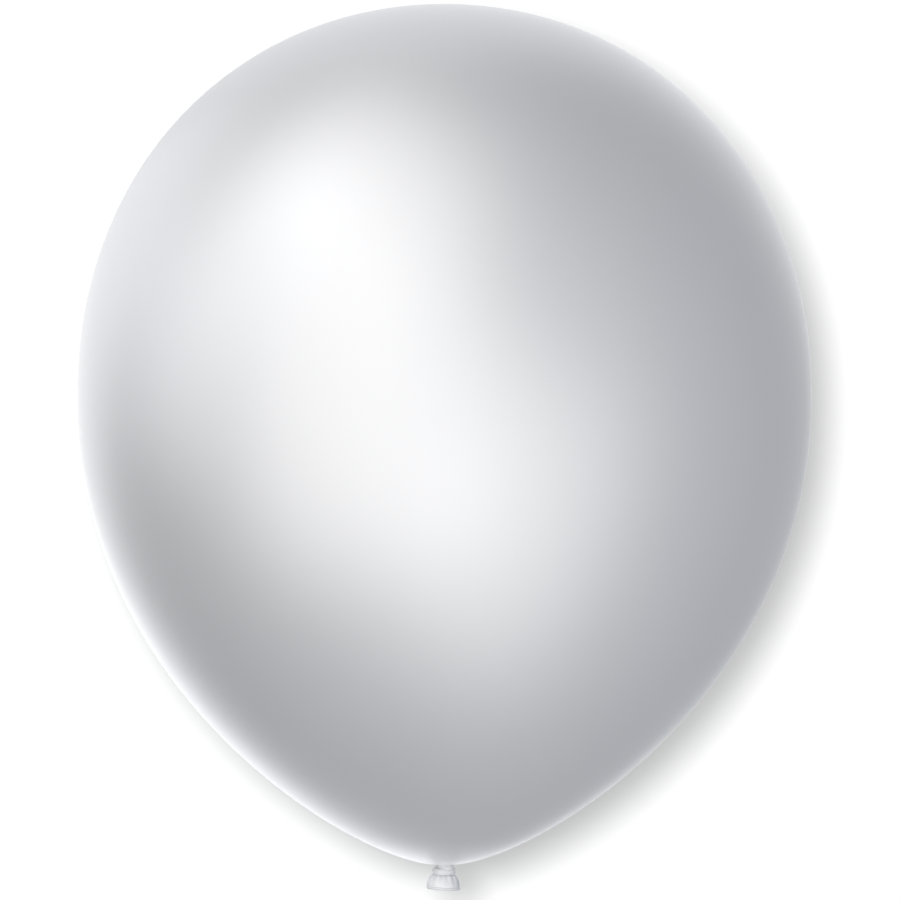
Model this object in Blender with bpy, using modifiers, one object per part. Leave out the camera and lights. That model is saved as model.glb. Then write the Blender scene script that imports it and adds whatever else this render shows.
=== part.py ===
"""A tied latex party balloon, inflated and floating upright with its knot below.

Metres, +Z up. The origin is the centre of the air that the envelope displaces, where the lift acts.
From the top down: the envelope, the gathered neck, the knot round it, the flared tail and its rolled rim.
"""

import math

import bpy
from mathutils import Matrix, Vector
from mathutils.geometry import interpolate_bezier

# The envelope's outline: its widest ring, the crown above it and the throat below it.
WIDEST_RADIUS = 0.140
RING_Z = 0.0056
CROWN_Z = RING_Z + 0.149
THROAT_Z = RING_Z - 0.179
THROAT_RADIUS = 0.00375
SKIN = 0.0004

# How far the outline keeps its direction from each of those places, as handles of a Bezier curve.
CROWN_HANDLE = 0.078
RING_HANDLE_UP = 0.088
RING_HANDLE_DOWN = 0.116
THROAT_HANDLE = 0.028

# The crown is flat over a small disc, where the tip of the dipping form was.
CROWN_DISC_RADIUS = 0.006
CROWN_STEPS = 14
FLANK_STEPS = 17
ENVELOPE_SIDES = 48

# Meshes that touch keep this gap.
SEAT_GAP = 0.0003

# The neck: a plug in the throat, gathered to a stem.
PLUG_RADIUS = THROAT_RADIUS - SEAT_GAP
STEM_RADIUS = 0.0017
STEM_LENGTH = 0.0045
NECK_SIDES = 24

# The knot: a ring with an upright oval section round the stem, a little aslant.
KNOT_THICKNESS = 0.0026
KNOT_HEIGHT = 0.0038
KNOT_MIDDLE_RADIUS = STEM_RADIUS + SEAT_GAP + KNOT_THICKNESS / 2
KNOT_Z = THROAT_Z - 0.0025
KNOT_SLANT = math.radians(3.4)

# The tail: an oval bell below the stem, and the bead that is rolled from its edge.
TAIL_TOP_Z = THROAT_Z - STEM_LENGTH - SEAT_GAP
TAIL_LENGTH = 0.0036
TAIL_WALL = 0.0005
TAIL_DEPTH_SHARE = 0.76
TAIL_LEAN = math.radians(3.4)
TAIL_SIDES = 28
RIM_RADIUS = 0.0060
RIM_THICKNESS = 0.0012

LATEX = {"colour": (0.62, 0.63, 0.65), "metallic": 0.55, "roughness": 0.36}
GATHERED_LATEX = {"colour": (0.52, 0.53, 0.55), "metallic": 0.45, "roughness": 0.48}


def clear_scene():
    for old in list(bpy.data.objects):
        bpy.data.objects.remove(old)


def collection(name):
    made = bpy.data.collections.new(name)
    bpy.context.scene.collection.children.link(made)
    return made


def material(name, look):
    made = bpy.data.materials.new(name)
    made.use_nodes = True
    shader = made.node_tree.nodes["Principled BSDF"]
    shader.inputs["Base Color"].default_value = (*look["colour"], 1)
    shader.inputs["Metallic"].default_value = look["metallic"]
    shader.inputs["Roughness"].default_value = look["roughness"]
    made.diffuse_color = (*look["colour"], 1)
    return made


def place(name, data, parts, look, parent=None):
    """Puts a mesh or curve in the collection as a named object with its own material."""
    made = bpy.data.objects.new(name, data)
    data.materials.append(material(name + "_latex", look))
    parts.objects.link(made)
    made.parent = parent
    return made


def outline_mesh(name, outline):
    """A line of edges in the XZ plane, from (radius, height) points that run from top to bottom."""
    mesh = bpy.data.meshes.new(name)
    points = [(radius, 0, height) for radius, height in outline]
    mesh.from_pydata(points, [(i, i + 1) for i in range(len(points) - 1)], [])
    return mesh


def turn(part, sides):
    """Turns the part's outline about Z."""
    screw = part.modifiers.new("turned", "SCREW")
    screw.axis = "Z"
    screw.angle = math.tau
    screw.steps = sides
    screw.render_steps = sides
    screw.use_merge_vertices = True
    screw.merge_threshold = 0.00001
    screw.use_smooth_shade = True


def thicken(part, thickness):
    """Gives an open surface its wall, on the inner side."""
    wall = part.modifiers.new("wall", "SOLIDIFY")
    wall.thickness = thickness
    wall.offset = -1
    wall.use_even_offset = True


def envelope_outline():
    """(radius, height) points of the body, from the crown's flat disc down to the throat."""
    crown = Vector((0, CROWN_Z))
    ring = Vector((WIDEST_RADIUS, RING_Z))
    throat = Vector((THROAT_RADIUS, THROAT_Z))
    upper = interpolate_bezier(
        crown, crown + Vector((CROWN_HANDLE, 0)), ring + Vector((0, RING_HANDLE_UP)), ring, CROWN_STEPS
    )
    lower = interpolate_bezier(
        ring, ring - Vector((0, RING_HANDLE_DOWN)), throat + Vector((THROAT_HANDLE, 0)), throat, FLANK_STEPS
    )
    disc = [(0, CROWN_Z), (CROWN_DISC_RADIUS, CROWN_Z)]
    return disc + [tuple(point) for point in upper[1:] + lower[1:]]


def make_envelope(parts):
    envelope = place("envelope", outline_mesh("envelope", envelope_outline()), parts, LATEX)
    turn(envelope, ENVELOPE_SIDES)
    thicken(envelope, SKIN)


def make_neck(parts):
    """The plug fills the throat, and below it the rubber is gathered to the stem."""
    columns = (
        # share of the way from stem to plug, drop below the throat
        (1.00, -0.0004),
        (1.00, 0.0000),
        (0.45, 0.0003),
        (0.15, 0.0007),
        (0.00, 0.0014),
        (0.00, STEM_LENGTH),
    )
    outline = [
        (STEM_RADIUS + share * (PLUG_RADIUS - STEM_RADIUS), THROAT_Z - drop) for share, drop in columns
    ]
    closed = [(0, outline[0][1]), *outline, (0, outline[-1][1])]
    neck = place("neck", outline_mesh("neck", closed), parts, GATHERED_LATEX)
    turn(neck, NECK_SIDES)


def make_knot(parts):
    """The wrap of the overhand knot, pulled tight, so its section is taller than it is thick."""
    bpy.ops.mesh.primitive_torus_add(
        major_segments=24, minor_segments=12, major_radius=KNOT_MIDDLE_RADIUS, minor_radius=KNOT_THICKNESS / 2
    )
    ring = bpy.context.object
    ring.data.transform(Matrix.Diagonal((1, 1, KNOT_HEIGHT / KNOT_THICKNESS, 1)))
    knot = place("knot", ring.data, parts, GATHERED_LATEX)
    bpy.data.objects.remove(ring)
    knot.location.z = KNOT_Z
    knot.rotation_euler.y = KNOT_SLANT
    knot.data.shade_smooth()


def narrow(data):
    """Narrows a round shape from front to back, as the tail is when the knot is pulled tight."""
    data.transform(Matrix.Diagonal((1, TAIL_DEPTH_SHARE, 1, 1)))


def make_tail(parts, lean):
    """A bell with a closed top, hollow from its mouth up."""
    columns = (
        # share of the edge's radius, share of the length
        (0.00, 0.00),
        (0.40, 0.01),
        (0.68, 0.06),
        (0.85, 0.19),
        (0.94, 0.40),
        (0.98, 0.66),
        (1.00, 1.00),
    )
    edge_radius = RIM_RADIUS + TAIL_WALL / 2
    outline = [(share * edge_radius, -drop * TAIL_LENGTH) for share, drop in columns]
    guide = bpy.data.objects.new("tail_outline", outline_mesh("tail_outline", outline))
    parts.objects.link(guide)
    turn(guide, TAIL_SIDES)
    bell = bpy.data.meshes.new_from_object(guide.evaluated_get(bpy.context.evaluated_depsgraph_get()))
    bpy.data.objects.remove(guide)
    narrow(bell)
    tail = place("tail", bell, parts, GATHERED_LATEX, lean)
    thicken(tail, TAIL_WALL)


def make_rim(parts, lean):
    """A closed oval tube, just below the bell's edge."""
    bpy.ops.curve.primitive_bezier_circle_add(radius=RIM_RADIUS)
    ring = bpy.context.object
    narrow(ring.data)
    ring.data.resolution_u = 8
    ring.data.bevel_depth = RIM_THICKNESS / 2
    ring.data.bevel_resolution = 3
    rim = place("rim", ring.data, parts, GATHERED_LATEX, lean)
    bpy.data.objects.remove(ring)
    rim.location.z = -(TAIL_LENGTH + SEAT_GAP + RIM_THICKNESS / 2)


def main():
    clear_scene()
    parts = collection("party_balloon")
    make_envelope(parts)
    make_neck(parts)
    make_knot(parts)
    lean = bpy.data.objects.new("tail_lean", None)
    parts.objects.link(lean)
    lean.location.z = TAIL_TOP_Z
    lean.rotation_euler.y = TAIL_LEAN
    make_tail(parts, lean)
    make_rim(parts, lean)


main()
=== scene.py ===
"""A tied party balloon of pearl silver latex, floating upright in a plain white studio."""

import math

import bpy
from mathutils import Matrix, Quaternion, Vector, noise


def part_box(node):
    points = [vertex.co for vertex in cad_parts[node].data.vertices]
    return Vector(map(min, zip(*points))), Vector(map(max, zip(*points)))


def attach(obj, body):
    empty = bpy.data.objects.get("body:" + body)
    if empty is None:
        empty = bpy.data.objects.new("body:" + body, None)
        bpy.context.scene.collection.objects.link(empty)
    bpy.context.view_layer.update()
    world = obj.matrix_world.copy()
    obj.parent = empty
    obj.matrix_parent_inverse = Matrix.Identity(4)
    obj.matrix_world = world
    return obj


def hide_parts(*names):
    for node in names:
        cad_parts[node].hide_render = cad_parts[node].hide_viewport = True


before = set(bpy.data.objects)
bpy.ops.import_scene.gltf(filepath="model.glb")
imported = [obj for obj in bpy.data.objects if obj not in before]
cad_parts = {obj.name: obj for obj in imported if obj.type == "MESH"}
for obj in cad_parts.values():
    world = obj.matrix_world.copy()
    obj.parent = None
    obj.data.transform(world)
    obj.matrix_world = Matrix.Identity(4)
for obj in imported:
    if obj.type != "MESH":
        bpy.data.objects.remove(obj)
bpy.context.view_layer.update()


# The camera stands level with the lower half of the balloon, straight in front of it, with a long lens.
# The photograph takes in 0.344 m at the balloon's axis, and that axis lies a little left of its middle.
bpy.ops.object.select_all(action="DESELECT")
camera_distance = 1.9
view_width = 0.3439
axis_offset = 0.0021
eye_height = -0.0153
camera_reach = 20
camera_place = (axis_offset, -camera_distance, eye_height)
bpy.ops.object.camera_add(location=camera_place, rotation=(math.pi / 2, 0, 0))
camera = bpy.context.object
camera.name = "photo_camera"
camera.data.lens = camera.data.sensor_width * camera_distance / view_width
camera.data.clip_end = camera_reach
bpy.context.scene.camera = camera


# The envelope is one skin of latex, dipped on a form and blown up to some seven times its area.
# It is drawn as its outline, crown to throat, and spun about the axis into a shell with a real wall.
# Round the knot the skin can't spread fully, so it keeps shallow radial gathers.
envelope_low, envelope_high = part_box("envelope")
crown_handle = 0.078
widest_handle_up = 0.088
widest_handle_down = 0.116
throat_handle = 0.028
throat_handle_rise = 0.0005
throat_inset = 0.00003
throat_rows = (
    # drop below the throat and radius, where the skin turns down into the neck
    (0.00000, 0.00410),
    (0.00005, 0.00384),
    (0.00015, 0.00362),
    (0.00032, 0.00347),
    (0.00055, 0.00340),
)
outline_steps = 60
envelope_sides = 252
skin = 0.0004
pleats = 14
pleat_reach = 0.017
pleat_depth = 0.00022
pleat_swell = 0.00014
pleat_run_in = 0.0025
creases = 42
crease_reach = 0.032
crease_depth = 0.00007
crease_wander = 5
crease_wander_scale = 90
crown = Vector((0, 0, envelope_high.z))
throat = Vector((throat_rows[0][1], 0, envelope_low.z + throat_inset))
envelope_points = (vertex.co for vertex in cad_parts["envelope"].data.vertices)
widest = max(envelope_points, key=lambda place: place.x).copy()


class Wire:
    """An output socket of a material's node, so that shader maths reads as plain arithmetic."""

    def __init__(self, paint, socket):
        self.paint = paint
        self.socket = socket

    def maths(self, operation, *values):
        return self.paint.node("Math", {"operation": operation}, dict(enumerate(values)))

    def __add__(self, other):
        return self.maths("ADD", self, other)

    def __mul__(self, other):
        return self.maths("MULTIPLY", self, other)

    __radd__ = __add__
    __rmul__ = __mul__


class Paint:
    """A material round its Principled shader, with the one method that adds a node to it."""

    def __init__(self, name, **constants):
        self.material = bpy.data.materials.new(name)
        self.material.use_nodes = True
        self.tree = self.material.node_tree
        self.shader = self.tree.nodes["Principled BSDF"]
        for socket, value in constants.items():
            self.shader.inputs[socket.replace("_", " ")].default_value = value
        self.place = self.node("TexCoord", output="Object")

    def node(self, kind, settings=None, inputs=None, output=0):
        made = self.tree.nodes.new("ShaderNode" + kind)
        for name, value in (settings or {}).items():
            setattr(made, name, value)
        for socket, value in (inputs or {}).items():
            self.feed(made.inputs[socket], value)
        return Wire(self, made.outputs[output])

    def feed(self, socket, value):
        if isinstance(value, Wire):
            self.tree.links.new(value.socket, socket)
        else:
            socket.default_value = value

    def noise(self, scale, detail, stretch=(1, 1, 1)):
        """Noise from 0 to 1 on the piece's own coordinates, in waves per metre."""
        place = self.node("Mapping", {}, {"Vector": self.place, "Scale": stretch})
        return self.node("TexNoise", {}, {"Vector": place, "Scale": scale, "Detail": detail})

    def nearness(self, point, inner, outer):
        """1 within the inner distance of a point, and 0 from the outer distance on."""
        away = self.node("VectorMath", {"operation": "DISTANCE"}, {0: self.place, 1: point}, output=1)
        ends = {0: away, 1: inner, 2: outer, 3: 1, 4: 0}
        return self.node("MapRange", {"interpolation_type": "SMOOTHSTEP"}, ends)

    def blend(self, share, low, high):
        """A colour between two colours."""
        return self.node("Mix", {"data_type": "RGBA"}, {0: share, 6: low, 7: high}, output=2)

    def paint(self, piece, colour, roughness, relief, relief_height):
        """Feeds the varying sockets and puts the material on a piece."""
        self.feed(self.shader.inputs["Base Color"], colour)
        self.feed(self.shader.inputs["Roughness"], roughness)
        bump = self.node("Bump", {}, {"Strength": 1.0, "Distance": relief_height, "Height": relief})
        self.feed(self.shader.inputs["Normal"], bump)
        piece.data.materials.clear()
        piece.data.materials.append(self.material)


def edit(piece):
    """Opens a piece in edit mode with all of it selected."""
    bpy.ops.object.select_all(action="DESELECT")
    piece.select_set(True)
    bpy.context.view_layer.objects.active = piece
    bpy.ops.object.mode_set(mode="EDIT")
    bpy.ops.mesh.select_all(action="SELECT")


def close_up(piece, merge_distance=0.00001):
    """Merges what lies on one point, turns the faces outwards and smooths the piece."""
    edit(piece)
    bpy.ops.mesh.remove_doubles(threshold=merge_distance)
    bpy.ops.mesh.normals_make_consistent(inside=False)
    bpy.ops.object.mode_set(mode="OBJECT")
    bpy.ops.object.shade_smooth()


def choose(piece, wanted):
    """Selects just the points of an opened piece whose place passes a test."""
    bpy.ops.mesh.select_mode(type="VERT")
    bpy.ops.mesh.select_all(action="DESELECT")
    bpy.ops.object.mode_set(mode="OBJECT")
    for vertex in piece.data.vertices:
        vertex.select = wanted(vertex.co)
    bpy.ops.object.mode_set(mode="EDIT")


def draw_down(rows, top):
    """Extrudes what is selected down the balloon's axis, from row to row, to each row's radius."""
    for above, row in zip(rows, rows[1:]):
        bpy.ops.mesh.extrude_region_move(TRANSFORM_OT_translate={"value": (0, 0, above[0] - row[0])})
        grow = row[1] / above[1]
        bpy.ops.transform.resize(value=(grow, grow, 1), center_override=(0, 0, top - row[0]))


def apply_modifier(piece, kind, **settings):
    modifier = piece.modifiers.new(kind.lower(), kind)
    for name, value in settings.items():
        setattr(modifier, name, value)
    bpy.ops.object.select_all(action="DESELECT")
    piece.select_set(True)
    bpy.context.view_layer.objects.active = piece
    bpy.ops.object.modifier_apply(modifier=modifier.name)


def stands_for(piece, node):
    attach(piece, "root")
    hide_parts(node)


bpy.ops.object.select_all(action="DESELECT")
bpy.ops.curve.primitive_bezier_curve_add()
envelope = bpy.context.object
envelope.name = "balloon_envelope"
envelope.data.resolution_u = outline_steps
turns = envelope.data.splines[0].bezier_points
turns.add(1)
outline = (
    # place, direction and length of the handle before it and of the handle after it
    (crown, Vector((-crown_handle, 0, 0)), Vector((crown_handle, 0, 0))),
    (widest, Vector((0, 0, widest_handle_up)), Vector((0, 0, -widest_handle_down))),
    (throat, Vector((throat_handle, 0, throat_handle_rise)), Vector((-throat_handle, 0, 0))),
)
for turn, (place, before, after) in zip(turns, outline):
    turn.handle_left_type = turn.handle_right_type = "FREE"
    turn.co = place
    turn.handle_left = place + before
    turn.handle_right = place + after
bpy.ops.object.convert(target="MESH")
edit(envelope)
bpy.ops.mesh.spin(steps=envelope_sides, angle=math.tau, center=(0, 0, 0), axis=(0, 0, 1))
bpy.ops.object.mode_set(mode="OBJECT")
close_up(envelope)
edit(envelope)
choose(envelope, lambda place: place.z < 0 and math.hypot(place.x, place.y) < throat.x + 0.00001)
draw_down(throat_rows, throat.z)
bpy.ops.object.mode_set(mode="OBJECT")
for vertex in envelope.data.vertices:
    away = math.hypot(vertex.co.x, vertex.co.y)
    if vertex.co.z > 0 or away > crease_reach:
        continue
    angle = math.atan2(vertex.co.y, vertex.co.x)
    pleat = max(0, 1 - away / pleat_reach) ** 2 * math.cos(pleats * angle)
    wander = crease_wander * noise.noise(vertex.co * crease_wander_scale)
    crease = (1 - away / crease_reach) ** 2 * math.cos(creases * angle + wander)
    spread = min(1, max(0, away - throat_rows[-1][1]) / pleat_run_in)
    vertex.co.z -= spread * (pleat_depth * pleat + crease_depth * crease)
    vertex.co.xy *= 1 + pleat_swell * pleat / away
close_up(envelope)
apply_modifier(envelope, "SOLIDIFY", thickness=skin, offset=-1)

# Stretched latex with pearl pigment is satin, with a fine bloom that brightens it where it is seen edge on.
# It is stretched least round the throat and at the crown's tip. At the tip the pigment stays denser and
# whiter. Round the throat the colour is painted lighter: painted light from below, in place of the light
# that the knot and tail keep off.
pearl_low = (0.714, 0.714, 0.716, 1)
pearl_high = (0.746, 0.746, 0.748, 1)
# Whiter colour: denser pigment at the crown's tip, and painted light round the throat.
dense_pearl_and_painted_light = (0.930, 0.930, 0.935, 1)
tip_inner = 0.003
tip_outer = 0.013
throat_light_inner = 0.016
throat_light_outer = 0.041
pearl = Paint(
    "pearl_latex_stretched",
    Metallic=0.7,
    IOR=1.5,
    Coat_Weight=0.1,
    Coat_Roughness=0.32,
    Sheen_Weight=1.0,
    Sheen_Roughness=0.4,
)
cloud = pearl.noise(16, detail=3)
flow = pearl.noise(30, detail=2, stretch=(1, 1, 0.16))
stretched = pearl.blend(cloud * 0.6 + flow * 0.4, pearl_low, pearl_high)
tip = pearl.nearness(crown, tip_inner, tip_outer)
# Painted light: the skin round the throat is painted lighter, in place of the light from below that the
# knot and tail keep off.
root = pearl.nearness((0, 0, throat.z), throat_light_inner, throat_light_outer)
pearl.paint(
    envelope,
    colour=pearl.blend(tip * 0.3 + root, stretched, dense_pearl_and_painted_light),
    roughness=0.48 + cloud * 0.04 + tip * 0.06,
    relief=pearl.noise(900, detail=2),
    relief_height=0.00001,
)
stands_for(envelope, "envelope")


# The neck is the envelope's throat, drawn together into pleats that run down through the knot.
# It is the same latex, hardly stretched, so it is thicker, duller and a little greyer.
# It plugs the envelope's opening, and its foot is hidden in the knot.
neck_lines = 2 * pleats
neck_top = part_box("neck")[1].z
neck_rows = (
    # drop below the neck's top, radius, share by which every other line is drawn in
    (0.0000, 0.00290, 0.10),
    (0.0007, 0.00310, 0.10),
    (0.0009, 0.00360, 0.12),
    (0.0013, 0.00378, 0.20),
    (0.0018, 0.00370, 0.30),
    (0.0025, 0.00280, 0.34),
    (0.0048, 0.00180, 0.20),
)
row_tolerance = 0.00002
fine_merge = 0.000001
gathered_low = (0.740, 0.745, 0.755, 1)
gathered_high = (0.800, 0.805, 0.815, 1)


def draw_in_folds(piece, rows, top, lines):
    """Draws every other line of each row in towards the axis, so that folds stand between them."""
    for drop, _, share in rows:
        height = top - drop

        def in_a_fold(place):
            line = math.atan2(place.y, place.x) / math.tau * lines
            return abs(place.z - height) < row_tolerance and round(line) % 2 == 1

        choose(piece, in_a_fold)
        bpy.ops.transform.resize(value=(1 - share, 1 - share, 1), center_override=(0, 0, height))


bpy.ops.object.select_all(action="DESELECT")
bpy.ops.mesh.primitive_circle_add(vertices=neck_lines, radius=neck_rows[0][1], fill_type="NGON")
neck = bpy.context.object
neck.name = "balloon_neck"
edit(neck)
bpy.ops.transform.translate(value=(0, 0, neck_top))
draw_down(neck_rows, neck_top)
draw_in_folds(neck, neck_rows, neck_top, neck_lines)
bpy.ops.object.mode_set(mode="OBJECT")
close_up(neck, fine_merge)
apply_modifier(neck, "SUBSURF", levels=3, render_levels=3)


def gathered(name, piece, slack):
    """Latex that is hardly stretched: dense pigment, no gloss, and fine wrinkles along the pull."""
    latex = Paint(name, Metallic=0.3, IOR=1.5, Coat_Weight=0.05, Coat_Roughness=0.4)
    wrinkle = latex.noise(1500, detail=3, stretch=(1, 1, slack))
    patch = latex.noise(260, detail=2)
    latex.paint(
        piece,
        colour=latex.blend(patch, gathered_low, gathered_high),
        roughness=0.46 + wrinkle * 0.10,
        relief=wrinkle,
        relief_height=0.00012,
    )


gathered("pearl_latex_gathered", neck, slack=0.2)
stands_for(neck, "neck")


# The knot is a plain overhand knot: the neck goes one and a half times round itself and back through.
# The latex is twisted and pulled tight, so the strand is fluted and its turns press into each other.
# It sits right under the envelope, a little aslant.
knot_low, knot_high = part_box("knot")
knot_middle = (knot_low + knot_high) / 2
strand_radius = 0.00122
strand_flutes = 11
flute_depth = 0.07
strand_twist = 2.5
wrap_turns = 1.6
wrap_radius_above = 0.0030
wrap_radius_below = 0.0036
wrap_aside = -0.0003
wrap_rise = 0.00185
wrap_start = math.radians(-150)
wrap_points = 56
tuck_share = 0.16
tuck_radius = 0.0011
tuck_rise = 0.0006
press_voxel = 0.00009
bpy.ops.object.select_all(action="DESELECT")
bpy.ops.curve.primitive_nurbs_circle_add(radius=strand_radius)
strand = bpy.context.object
strand.name = "strand_section"
section = strand.data.splines[0]
section.points.add(strand_flutes * 4 - len(section.points))
for i, point in enumerate(section.points):
    angle = math.tau * i / len(section.points)
    radius = strand_radius * (1 + flute_depth * math.cos(strand_flutes * angle))
    point.co = (radius * math.cos(angle), radius * math.sin(angle), 0, 1)
bpy.ops.curve.primitive_nurbs_path_add()
knot = bpy.context.object
knot.name = "balloon_knot"
wrap = knot.data.splines[0]
wrap.points.add(wrap_points - len(wrap.points))
for i, point in enumerate(wrap.points):
    share = i / (wrap_points - 1)
    angle = wrap_start + math.tau * wrap_turns * share
    out = min(1.0, min(share, 1 - share) / tuck_share)
    out = out * out * (3 - 2 * out)
    wrap_radius = wrap_radius_above + share * (wrap_radius_below - wrap_radius_above)
    radius = tuck_radius + out * (wrap_radius - tuck_radius)
    side = 1 if share < 0.5 else -1
    height = wrap_rise * (0.5 - share) + side * tuck_rise * (1 - out)
    x = wrap_aside + radius * math.cos(angle)
    point.co = (x, radius * math.sin(angle), knot_middle.z + height, 1)
    point.tilt = math.tau * strand_twist * share
knot.data.resolution_u = 4
strand.data.resolution_u = 3
knot.data.bevel_mode = "OBJECT"
knot.data.bevel_object = strand
knot.data.use_fill_caps = True
bpy.ops.object.convert(target="MESH")
bpy.data.objects.remove(strand)
close_up(knot, fine_merge)
apply_modifier(knot, "REMESH", mode="VOXEL", voxel_size=press_voxel, use_smooth_shade=True)
apply_modifier(knot, "SMOOTH", factor=0.5, iterations=3)
gathered("pearl_latex_knotted", knot, slack=0.6)
stands_for(knot, "knot")


# The tail is the neck's end below the knot: a slack skirt that flares to the mouth.
# Folds run down it from the knot and die out before the rim. It is hollow, and open below.
folds = 12
fold_lines = 2 * folds
tail_low, tail_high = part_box("tail")
tail_top = (tail_high.z + knot_low.z) / 2
tail_depth_share = (tail_high.y - tail_low.y) / (tail_high.x - tail_low.x)
tail_lean = math.radians(3.4)
tail_wall = 0.00042
tail_aside = -0.0003
tail_rows = (
    # drop below the tail's top, radius, share by which every other line is drawn in
    (-0.0007, 0.00380, 0.30),
    (-0.0005, 0.00490, 0.30),
    (-0.0001, 0.00550, 0.26),
    (0.0005, 0.00585, 0.20),
    (0.0011, 0.00603, 0.14),
    (0.0020, 0.00628, 0.09),
    (0.0030, 0.00648, 0.05),
    (0.0045, 0.00640, 0.02),
)
bpy.ops.object.select_all(action="DESELECT")
bpy.ops.mesh.primitive_circle_add(vertices=fold_lines, radius=tail_rows[0][1], fill_type="NOTHING")
tail = bpy.context.object
tail.name = "balloon_tail"
edit(tail)
bpy.ops.transform.translate(value=(0, 0, tail_top - tail_rows[0][0]))
draw_down(tail_rows, tail_top)
draw_in_folds(tail, tail_rows, tail_top, fold_lines)
choose(tail, lambda place: place.z > tail_top - tail_rows[0][0] - row_tolerance)
bpy.ops.mesh.edge_face_add()
bpy.ops.mesh.select_all(action="SELECT")
bpy.ops.transform.resize(value=(1, tail_depth_share, 1), center_override=(0, 0, 0))
bpy.ops.transform.rotate(value=-tail_lean, orient_axis="Y", center_override=(0, 0, tail_top))
bpy.ops.transform.translate(value=(tail_aside, 0, 0))
bpy.ops.object.mode_set(mode="OBJECT")
close_up(tail, fine_merge)
apply_modifier(tail, "SOLIDIFY", thickness=tail_wall, offset=-1, use_even_offset=True)
apply_modifier(tail, "SUBSURF", levels=3, render_levels=3)
gathered("pearl_latex_slack", tail, slack=0.25)
stands_for(tail, "tail")


# The rim is the tail's edge rolled up on itself into a bead, as every balloon's mouth is.
# The roll ends on its inner side in a fine step, and the bead goes in and out with the skirt's folds.
rim_low, rim_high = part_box("rim")
rim_middle = (rim_low + rim_high) / 2
bead_radius = 0.00060
roll_step = 0.16
rim_radius = (rim_high.x - rim_low.x) / 2 - bead_radius
rim_depth_radius = (rim_high.y - rim_low.y) / 2 - bead_radius
rim_wave = 0.00003
bpy.ops.object.select_all(action="DESELECT")
bpy.ops.curve.primitive_nurbs_circle_add(radius=bead_radius)
roll = bpy.context.object
roll.name = "roll_section"
section = roll.data.splines[0]
section.points.add(28 - len(section.points))
for i, point in enumerate(section.points):
    share = i / len(section.points)
    radius = bead_radius * (1 - roll_step * share)
    point.co = (radius * math.cos(math.tau * share), radius * math.sin(math.tau * share), 0, 1)
bpy.ops.curve.primitive_nurbs_circle_add(radius=rim_radius)
rim = bpy.context.object
rim.name = "balloon_rim"
edge = rim.data.splines[0]
edge.points.add(6 * folds - len(edge.points))
for i, point in enumerate(edge.points):
    angle = math.tau * i / len(edge.points)
    wave = rim_wave * math.cos(folds * angle)
    x = (rim_radius + wave) * math.cos(angle)
    y = (rim_depth_radius + wave) * math.sin(angle)
    point.co = (rim_middle.x + tail_aside + x, y, rim_middle.z - x * math.sin(tail_lean), 1)
rim.data.resolution_u = 3
roll.data.resolution_u = 2
rim.data.bevel_mode = "OBJECT"
rim.data.bevel_object = roll
bpy.ops.object.convert(target="MESH")
bpy.data.objects.remove(roll)
close_up(rim, fine_merge)
gathered("pearl_latex_rolled", rim, slack=0.5)
stands_for(rim, "rim")


# The tent is the studio's floor, wall and ceiling, one room of white paper with rounded corners, far off.
# Light comes through the paper, less of it behind the balloon, so it is white all over and shows no edge.
# Only the camera sees the tent: the balloon takes its light from the lamps and the sky.
tent_radius = 3.7
tent_height = 6.8
tent_bend = 1.4
tent_sides = 96
bend_steps = 20
paper_white = (0.9, 0.9, 0.9, 1)
tent_glow = 0.64
glow_behind = (0.32, 0.30, 0.25, 1)
behind_inner = 0.9
behind_outer = 1.8
bpy.ops.object.select_all(action="DESELECT")
bpy.ops.mesh.primitive_cylinder_add(vertices=tent_sides, radius=tent_radius, depth=tent_height)
tent = bpy.context.object
tent.name = "paper_tent"
bend = {"width": tent_bend, "segments": bend_steps}
apply_modifier(tent, "BEVEL", limit_method="ANGLE", angle_limit=math.radians(60), **bend)
bpy.ops.object.shade_smooth()
tent.visible_diffuse = False
tent.visible_glossy = False
tent.visible_shadow = False
paper = Paint("tent_paper", Roughness=0.95, Specular_IOR_Level=0.0, Emission_Strength=tent_glow)
paper.shader.inputs["Base Color"].default_value = paper_white
behind = paper.nearness((0, tent_radius, 0), behind_inner, behind_outer)
glow = paper.blend(behind, (1, 1, 1, 1), glow_behind)
paper.feed(paper.shader.inputs["Emission Color"], glow)
tent.data.materials.append(paper.material)


# The balloon's light: large soft lamps at one distance all round, and a pale sky.
# A tall bank and a lamp over it stand at the camera's left, and their light draws the broad bright band.
# A low lamp lightens the front's lower right, and the lamps behind the balloon draw its bright edges.
lamp_distance = 2.2
warm = (1.0, 0.98, 0.95)
cool = (0.96, 0.97, 1.0)
lamps = {
    # name: azimuth, elevation and roll in degrees, width and height in metres, brightness, colour
    "bank": (335, -5, 90, 3.25, 3.25, 3.4, warm),
    "over": (325, 55, 60, 1.75, 3.0, 3.25, warm),
    "low": (25, -30, 70, 3.25, 2.0, 2.25, warm),
    "left": (285, 25, -35, 1.25, 3.25, 3.5, cool),
    "edge": (225, 15, -45, 1.5, 2.5, 3.5, cool),
    "back": (175, 35, 60, 3.25, 2.0, 2.0, cool),
    "under": (190, -20, -45, 1.5, 1.5, 7.0, cool),
}


def direction_to(azimuth, elevation):
    """From the balloon: azimuth 0 is the camera's side and 90 the photograph's right."""
    flat = math.cos(elevation)
    return Vector((math.sin(azimuth) * flat, -math.cos(azimuth) * flat, math.sin(elevation)))


def lights_only(lamp, name, pieces):
    """Keeps a lamp's light to the given pieces, and the lamp itself out of the camera's sight."""
    lamp.name = name
    lamp.visible_camera = False
    receivers = bpy.data.collections.new(name + "_receivers")
    for piece in pieces:
        receivers.objects.link(piece)
    lamp.light_linking.receiver_collection = receivers


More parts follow.
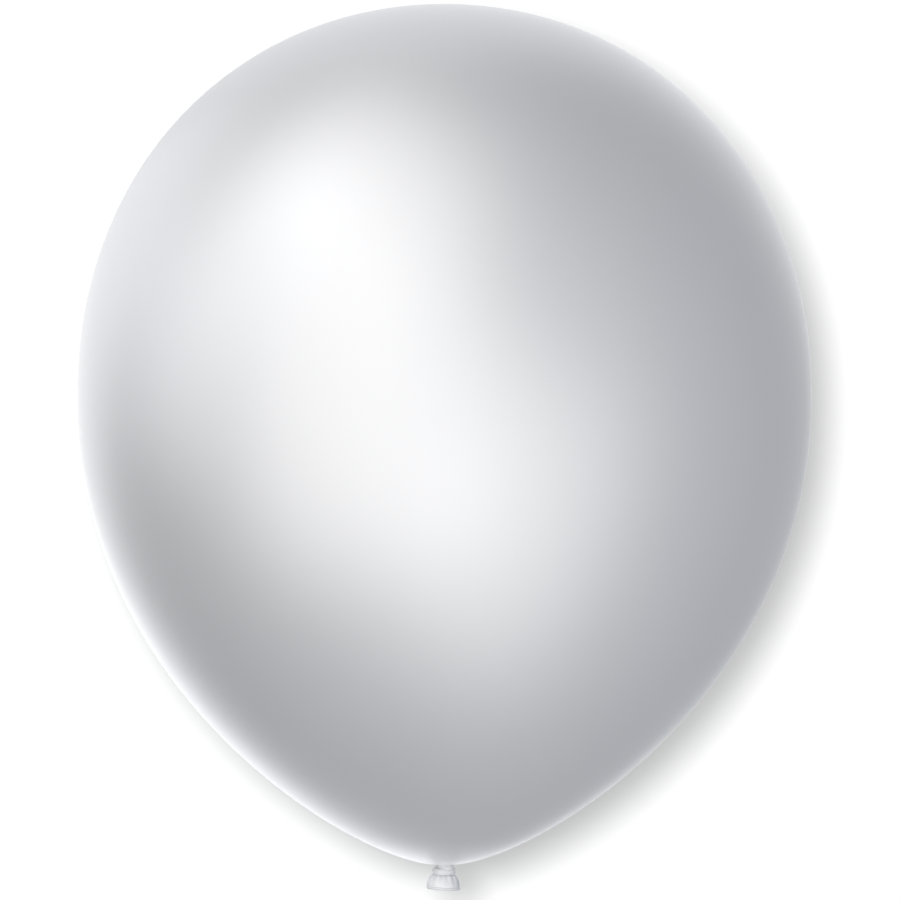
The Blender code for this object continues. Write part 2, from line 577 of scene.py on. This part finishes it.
balloon_pieces = (envelope, neck, knot, tail, rim)
for name, (azimuth, elevation, roll, width, height, brightness, colour) in lamps.items():
    direction = direction_to(math.radians(azimuth), math.radians(elevation))
    bpy.ops.object.light_add(type="AREA")
    lamp = bpy.context.object
    lamp.data.shape = "RECTANGLE"
    lamp.data.size = width
    lamp.data.size_y = height
    lamp.data.energy = brightness * width * height
    lamp.data.color = colour
    lamp.location = direction * lamp_distance
    facing = direction.to_track_quat("Z", "Y") @ Quaternion((0, 0, 1), math.radians(roll))
    lamp.rotation_euler = facing.to_euler()
    lights_only(lamp, "lamp_" + name, balloon_pieces)

# The sky is pale blue, so that what no lamp reaches is cool.
# It is a little brighter to the right and towards the camera.
sky_colour = (0.88, 0.92, 1.0, 1)
sky_level = 0.35
sky_slope = (0.15, -0.15, -0.05)
sky = bpy.data.worlds.new("studio_sky")
bpy.context.scene.world = sky
sky.use_nodes = True
sky_nodes = sky.node_tree.nodes
sky_links = sky.node_tree.links
direction = sky_nodes.new("ShaderNodeTexCoord")
share = sky_nodes.new("ShaderNodeVectorMath")
share.operation = "DOT_PRODUCT"
share.inputs[1].default_value = sky_slope
strength = sky_nodes.new("ShaderNodeMath")
strength.inputs[1].default_value = sky_level
sky_links.new(direction.outputs["Generated"], share.inputs[0])
sky_links.new(share.outputs["Value"], strength.inputs[0])
sky_links.new(strength.outputs[0], sky_nodes["Background"].inputs["Strength"])
sky_nodes["Background"].inputs["Color"].default_value = sky_colour
bpy.context.scene.view_settings.view_transform = "Standard"


# The paper's light is one small lamp just beside and above the camera, and it lights only the paper.
# It throws the balloon's soft shadow down and to the right on the wall behind it.
paper_lamp_size = 0.0266
paper_lamp_shift = 0.010
paper_lamp_power = 165
bpy.ops.object.light_add(type="AREA")
paper_lamp = bpy.context.object
paper_lamp.data.shape = "DISK"
paper_lamp.data.size = paper_lamp_size
paper_lamp.data.energy = paper_lamp_power
paper_lamp.location = camera.location + Vector((-paper_lamp_shift, 0, paper_lamp_shift))
paper_lamp.rotation_euler = camera.rotation_euler
lights_only(paper_lamp, "paper_lamp", (tent,))
